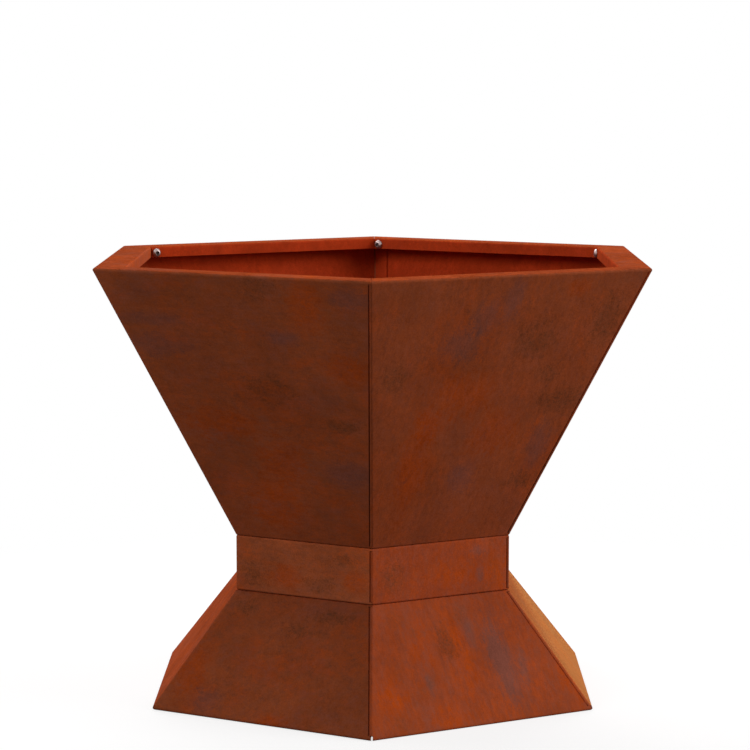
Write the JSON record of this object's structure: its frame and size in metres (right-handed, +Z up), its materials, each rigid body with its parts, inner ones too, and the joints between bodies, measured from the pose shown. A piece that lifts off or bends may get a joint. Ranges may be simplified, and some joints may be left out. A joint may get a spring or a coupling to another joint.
{
  "type": "brazier",
  "caption": "Free-standing hexagonal brazier of folded weathering steel: open bowl that widens upwards, short neck, flared hollow base, and a loose fire plate that lifts out.",
  "frame": {"origin": "on the floor, under the middle of the brazier", "axes": "+Z up; +Y from the front corner to the back corner; +X to the right, through the middle of a flat side"},
  "size_m": [0.5974, 0.6898, 0.4895],
  "materials": {
    "bowl_steel": "matt mottled rust, darker with heat",
    "neck_steel": "matt mottled rust",
    "base_steel": "matt mottled rust",
    "plate_steel": "scaled and sooty rust",
    "screw_steel": "bright, clean",
    "nut_steel": "satin"
  },
  "bodies": {
    "brazier": {"base_panel_front_left": "base_steel", "base_panel_left": "base_steel", "base_panel_back_left": "base_steel", "base_panel_back_right": "base_steel", "base_panel_right": "base_steel", "base_panel_front_right": "base_steel", "neck_panel_front_left": "neck_steel", "neck_panel_left": "neck_steel", "neck_panel_back_left": "neck_steel", "neck_panel_back_right": "neck_steel", "neck_panel_right": "neck_steel", "neck_panel_front_right": "neck_steel", "bowl_panel_front_left": "bowl_steel", "bowl_panel_left": "bowl_steel", "bowl_panel_back_left": "bowl_steel", "bowl_panel_back_right": "bowl_steel", "bowl_panel_right": "bowl_steel", "bowl_panel_front_right": "bowl_steel", "rim_screw_front": "screw_steel", "rim_screw_front_left": "screw_steel", "rim_screw_back_left": "screw_steel", "rim_screw_back": "screw_steel", "rim_screw_back_right": "screw_steel", "rim_screw_front_right": "screw_steel", "rim_nut_front": "nut_steel", "rim_nut_front_left": "nut_steel", "rim_nut_back_left": "nut_steel", "rim_nut_back": "nut_steel", "rim_nut_back_right": "nut_steel", "rim_nut_front_right": "nut_steel", "bowl_joint_bolt_front": "screw_steel", "bowl_joint_bolt_front_left": "screw_steel", "bowl_joint_bolt_back_left": "screw_steel", "bowl_joint_bolt_back": "screw_steel", "bowl_joint_bolt_back_right": "screw_steel", "bowl_joint_bolt_front_right": "screw_steel", "bowl_joint_nut_front": "nut_steel", "bowl_joint_nut_front_left": "nut_steel", "bowl_joint_nut_back_left": "nut_steel", "bowl_joint_nut_back": "nut_steel", "bowl_joint_nut_back_right": "nut_steel", "bowl_joint_nut_front_right": "nut_steel", "base_joint_bolt_front": "screw_steel", "base_joint_bolt_front_left": "screw_steel", "base_joint_bolt_back_left": "screw_steel", "base_joint_bolt_back": "screw_steel", "base_joint_bolt_back_right": "screw_steel", "base_joint_bolt_front_right": "screw_steel", "base_joint_nut_front": "nut_steel", "base_joint_nut_front_left": "nut_steel", "base_joint_nut_back_left": "nut_steel", "base_joint_nut_back": "nut_steel", "base_joint_nut_back_right": "nut_steel", "base_joint_nut_front_right": "nut_steel"},
    "fire_plate": {"fire_plate": "plate_steel"}
  },
  "joints": [
    {"name": "fire_plate_lift", "type": "slide", "parent": "brazier", "child": "fire_plate", "axis": [0, 0, 1], "range_m": [0, 0.32]}
  ]
}
